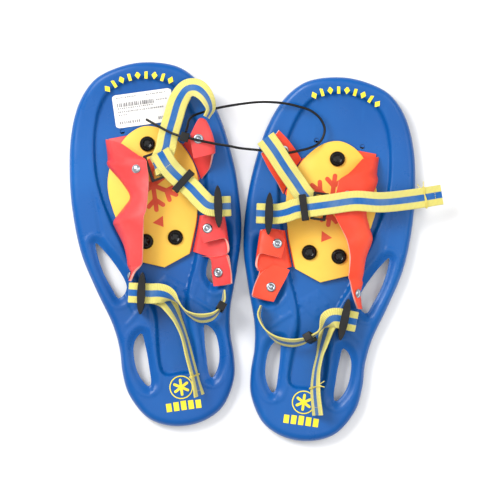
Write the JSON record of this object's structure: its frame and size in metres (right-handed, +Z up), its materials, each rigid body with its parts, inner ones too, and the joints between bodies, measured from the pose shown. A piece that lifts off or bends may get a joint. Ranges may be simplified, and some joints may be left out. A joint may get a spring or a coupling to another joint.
{
  "type": "pair of child's snowshoes",
  "caption": "Child's snowshoes with moulded blue decks, yellow foot plates, red flexible harnesses and striped buckled straps, held as a pair by a black cable tie.",
  "frame": {"origin": "centre of the bounding box on the floor that the shoes lie on", "axes": "+Y towards the toes, +Z up, +X towards the right shoe"},
  "size_m": [0.3627, 0.3682, 0.0567],
  "materials": {
    "deck": "smooth moulded blue",
    "plate": "satin printed yellow",
    "harness": "satin flexible red",
    "webbing": "woven, yellow with a blue stripe",
    "black": "satin moulded black",
    "steel": "nickel plated",
    "label": "matt white"
  },
  "bodies": {
    "pair": {"left_deck": "deck", "left_foot_plate": "plate", "left_harness_base": "harness", "left_bolt_front": "black", "left_nut_front": "steel", "left_bolt_outer": "black", "left_nut_outer": "steel", "left_bolt_inner": "black", "left_nut_inner": "steel", "left_outer_wing": "harness", "left_inner_toe_arm": "harness", "left_inner_heel_arm": "harness", "left_rivet_outer_toe": "steel", "left_rivet_inner_toe": "steel", "left_rivet_inner_mid": "steel", "left_toe_strap": "webbing", "left_toe_hook": "black", "right_deck": "deck", "right_foot_plate": "plate", "right_harness_base": "harness", "right_bolt_front": "black", "right_nut_front": "steel", "right_bolt_outer": "black", "right_nut_outer": "steel", "right_bolt_inner": "black", "right_nut_inner": "steel", "right_outer_wing": "harness", "right_inner_toe_arm": "harness", "right_inner_heel_arm": "harness", "right_rivet_outer_toe": "steel", "right_rivet_inner_toe": "steel", "right_rivet_inner_mid": "steel", "right_toe_strap": "webbing", "right_toe_hook": "black", "price_label": "label", "tie_head": "black", "tie_strap": "black"},
    "left_heel_loop": {"left_outer_tail": "harness", "left_inner_tail": "harness", "left_heel_strap": "webbing", "left_rivet_outer_heel": "steel", "left_rivet_inner_heel": "steel"},
    "left_heel_lock": {"left_heel_lock": "black"},
    "left_heel_slider": {"left_heel_slider": "black"},
    "left_toe_lock": {"left_toe_lock": "black"},
    "left_toe_slider": {"left_toe_slider": "black"},
    "right_heel_loop": {"right_outer_tail": "harness", "right_inner_tail": "harness", "right_heel_strap": "webbing", "right_rivet_outer_heel": "steel", "right_rivet_inner_heel": "steel"},
    "right_heel_lock": {"right_heel_lock": "black"},
    "right_heel_slider": {"right_heel_slider": "black"},
    "right_toe_lock": {"right_toe_lock": "black"},
    "right_toe_slider": {"right_toe_slider": "black"}
  },
  "joints": [
    {"name": "left_heel_loop_swing", "type": "hinge", "parent": "pair", "child": "left_heel_loop", "pos_m": [-0.08933, -0.01063, 0.0405], "axis": [-0.9905, -0.1374, 0], "range_deg": [0, 28]},
    {"name": "left_heel_lock_tip", "type": "hinge", "parent": "left_heel_loop", "child": "left_heel_lock", "pos_m": [-0.11052, -0.03982, 0.0186], "axis": [0.0541, 0.9985, 0], "range_deg": [-5, 8]},
    {"name": "left_toe_lock_tip", "type": "hinge", "parent": "pair", "child": "left_toe_lock", "pos_m": [-0.03629, 0.04368, 0.0295], "axis": [-0.0332, 0.9994, 0], "range_deg": [-8, 8]},
    {"name": "left_toe_slider_run", "type": "slide", "parent": "pair", "child": "left_toe_slider", "axis": [0.7437, -0.6686, 0], "range_m": [0, 0.005]},
    {"name": "left_heel_slider_run", "type": "slide", "parent": "left_heel_loop", "child": "left_heel_slider", "axis": [-0.4828, -0.8721, 0.0797], "range_m": [-0.001, 0.001]},
    {"name": "right_heel_loop_swing", "type": "hinge", "parent": "pair", "child": "right_heel_loop", "pos_m": [0.06293, -0.02523, 0.0405], "axis": [-0.9905, 0.1374, 0], "range_deg": [0, 28]},
    {"name": "right_heel_lock_tip", "type": "hinge", "parent": "right_heel_loop", "child": "right_heel_lock", "pos_m": [0.08515, -0.06516, 0.0186], "axis": [0.2062, 0.9785, 0], "range_deg": [-5, 8]},
    {"name": "right_toe_lock_tip", "type": "hinge", "parent": "pair", "child": "right_toe_lock", "pos_m": [0.01247, 0.03679, 0.0295], "axis": [0.0332, 0.9994, 0], "range_deg": [-8, 8]},
    {"name": "right_toe_slider_run", "type": "slide", "parent": "pair", "child": "right_toe_slider", "axis": [-0.9857, -0.1526, -0.0717], "range_m": [0, 0.005]},
    {"name": "right_heel_slider_run", "type": "slide", "parent": "right_heel_loop", "child": "right_heel_slider", "axis": [0.8149, 0.5702, 0.1041], "range_m": [-0.002, 0.003]}
  ]
}
